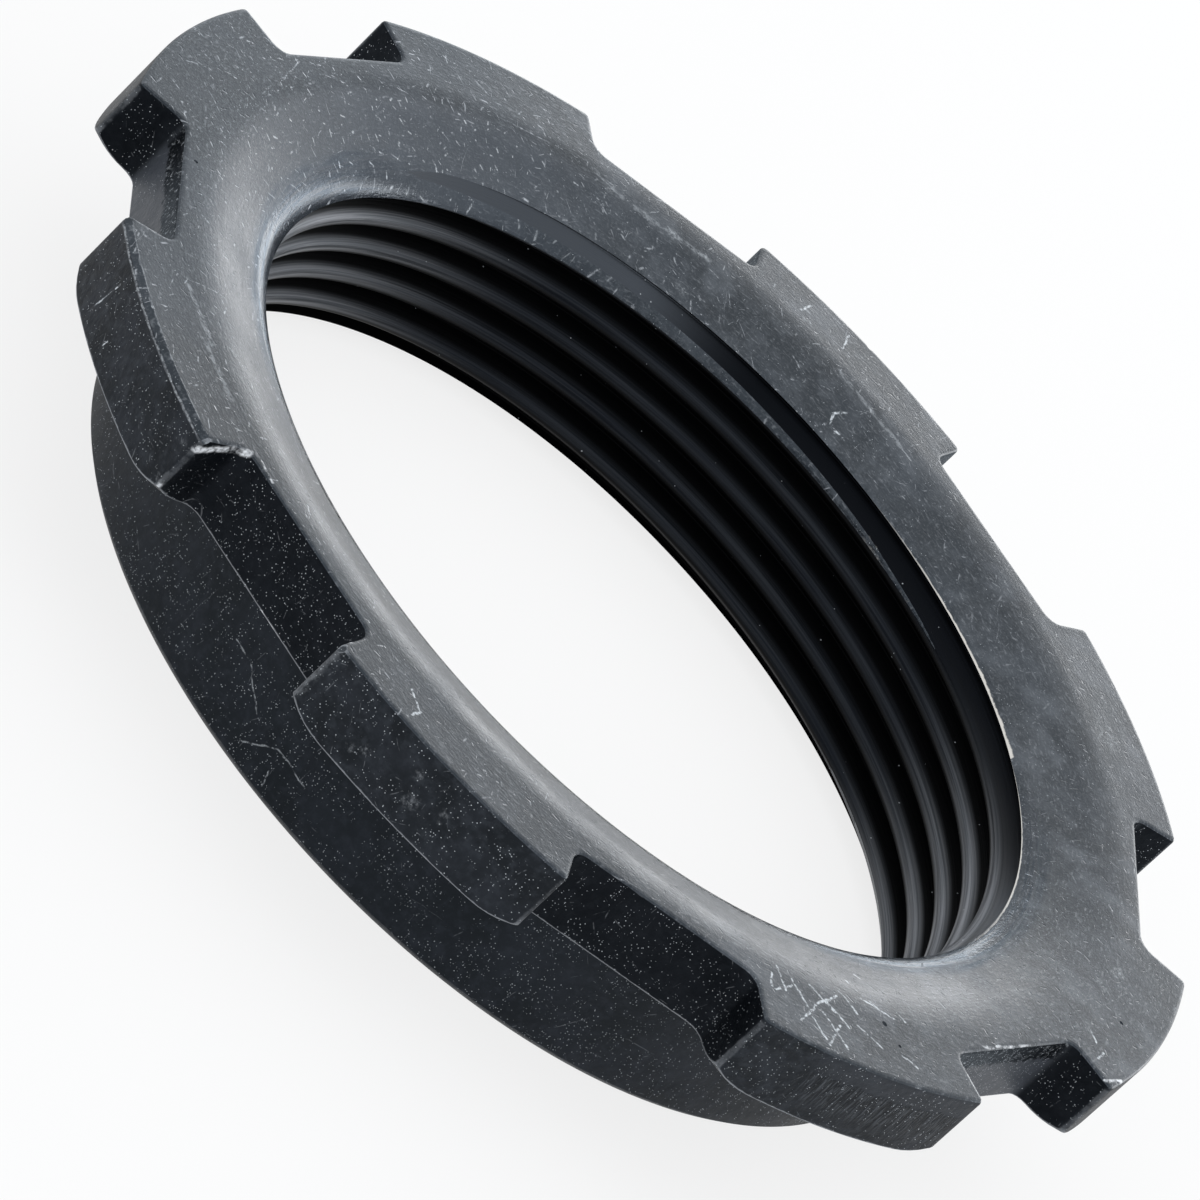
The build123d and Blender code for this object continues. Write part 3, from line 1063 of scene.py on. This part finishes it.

# %% [markdown]
# ## The thread
#
# The body that the ring turns on has rubbed the crests to a dark gloss. The grooves between them
# are painted deeper black, a painted shade. How far up its turn a point lies follows from its height
# and its azimuth: 0 is the bottom of a groove, and 0.5 is the crest. Seen from the side, the crests
# are painted paler, a painted sheen.

# %% The crests and the grooves
tree, shader, place, edge = open_finish("worn_thread", 0.05, (1.0, 1.0, 1.0))
parts = add_node(tree, "SeparateXYZ", {0: place}).outputs
turns = number(tree, "DIVIDE", number(tree, "ARCTAN2", parts[1], parts[0]), math.tau)
climbed = number(tree, "DIVIDE", number(tree, "SUBTRACT", parts[2], root_height), thread_pitch)
since_root = number(tree, "SUBTRACT", climbed, number(tree, "SUBTRACT", turns, tap_azimuth / math.tau))
way_up = number(tree, "FRACT", since_root)
crest = times(tree, rise(tree, way_up, 0.40, 0.54), rise(tree, way_up, 0.80, 0.66))
streaks = place_group(tree, turning_marks, Place=place, Fineness=9.0, Length=8.0)
streaky = rise(tree, streaks, 0.35, 0.65)
dark_crest = blend_colours(tree, streaky, (0.012, 0.014, 0.018, 1), (0.026, 0.029, 0.034, 1))
# Painted sheen: crests seen from the side are given a paler colour.
crest_sheen = blend_colours(tree, streaky, (0.15, 0.16, 0.175, 1), (0.30, 0.31, 0.33, 1))
beside = facing(tree, place, math.degrees(tap_azimuth), 0.85, 0.15)
rubbed = blend_colours(tree, beside, dark_crest, crest_sheen)

# %% The mouth of the thread, its burr and dust
# Painted shade: on one side the mouth of the thread is painted nearly black.
mouth_shade_side = 81.7
mouth_shade = facing(tree, place, mouth_shade_side, 0.55, 0.82)
at_mouth = rise(tree, parts[2], mouth_end_height + 0.5, mouth_end_height + 1.3)
shade_under_mouth = times(tree, mouth_shade, rise(tree, parts[2], 9.2, 10.0))
mouth_colour = blend_colours(tree, mouth_shade, (0.066, 0.074, 0.086, 1), painted_shade_black)
rubbed = lay_over(tree, rubbed, (at_mouth, 1.0, mouth_colour), (shade_under_mouth, 0.7, painted_shade_black))
glossy = largest(tree, crest, at_mouth)
burr = place_group(tree, worn_edges, Place=place, Edge=edge, Start=0.45, Patchiness=1.6)
# The same burr with its painted highlight, where the mouth's edge reaches the thread.
burr_with_highlight = times(tree, at_mouth, facing(tree, place, burr_highlight_side, 0.70, 0.92), burr)
specks = place_group(tree, dust, Place=place, Spacing=0.5, Grain=0.06, Share=0.5)
# Painted shade: away from the crests and the mouth, the grooves are painted deeper black.
colour = lay_over(
    tree, blend_colours(tree, glossy, (0.0010, 0.0012, 0.0016, 1), rubbed),
    (burr_with_highlight, 0.9, burr_and_highlight), (specks, 0.5, dust_colour))
gloss = spread(tree, streaks, 0.2, 0.38)
close_finish(tree, shader, streaks, 0.02, Base_Color=colour, Metallic=glossy, Roughness=gloss)
print("worn thread", len(tree.nodes), "nodes")

# %% Handing the ring over
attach(blank, "root")
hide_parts("preload_ring")
print("finished ring", len(blank.data.polygons), "faces,", len(blank.data.materials), "finishes")

# %% [markdown]
# ## Floor and light
#
# The photo is a product picture on white paper, lit from all sides. The floor is white paper that
# keeps the ring's soft shadow. For the camera and for reflections it is partly its own white, as
# paper is that is lit from below, which keeps the shadow pale. The world is one even white, a
# little cool.

# %% The floor
floor_half = 3000.0
floor_height = -0.02
floor_bm = bmesh.new()
bmesh.ops.create_grid(floor_bm, x_segments=1, y_segments=1, size=floor_half)
bmesh.ops.translate(floor_bm, verts=floor_bm.verts, vec=(0, 0, floor_height))
floor = piece_from(floor_bm, "floor")
paper = bpy.data.materials.new("white_paper")
paper.use_nodes = True
tree = paper.node_tree
shader = tree.nodes["Principled BSDF"]
shader.inputs["Base Color"].default_value = (0.88, 0.88, 0.88, 1)
shader.inputs["Roughness"].default_value = 0.9
rays = add_node(tree, "LightPath").outputs
seen = largest(tree, rays["Is Camera Ray"], rays["Is Glossy Ray"], rays["Is Transmission Ray"])
own_white = add_node(tree, "Emission", {"Color": (1, 1, 1, 1), "Strength": 1.0}).outputs[0]
mixed = add_node(tree, "MixShader", {0: times(tree, seen, 0.8), 1: shader.outputs[0], 2: own_white})
tree.links.new(mixed.outputs[0], tree.nodes["Material Output"].inputs["Surface"])
floor.data.materials.append(paper)
print("floor", [round(side, 1) for side in floor.dimensions], "m")

# %% The world
world = bpy.data.worlds.new("studio")
bpy.context.scene.world = world
world.use_nodes = True
background = world.node_tree.nodes["Background"]
background.inputs["Color"].default_value = (0.95, 0.975, 1.0, 1)
background.inputs["Strength"].default_value = 1.05


# %% A softbox behind the ring
def softbox(name, azimuth, elevation, distance, width, height, power):
    """A lamp with a flat screen, set by its direction from the ring, and turned to face it."""
    lamp = bpy.data.lights.new(name, "AREA")
    lamp.shape = "RECTANGLE"
    lamp.size = width
    lamp.size_y = height
    lamp.energy = power
    rig = bpy.data.objects.new(name, lamp)
    bpy.context.scene.collection.objects.link(rig)
    up = math.radians(elevation)
    towards = Vector(on_ring(math.cos(up), azimuth, math.sin(up)))
    turn = towards.to_track_quat("Z", "Y").to_matrix().to_4x4()
    rig.matrix_world = Matrix.Translation(towards * distance) @ turn
    print(name, "at", [round(part, 3) for part in rig.matrix_world.translation], "m")


softbox("back_softbox", 91.0, 8.0, 0.50, 0.75, 0.13, 1.0)
bpy.context.scene.view_settings.view_transform = "Standard"
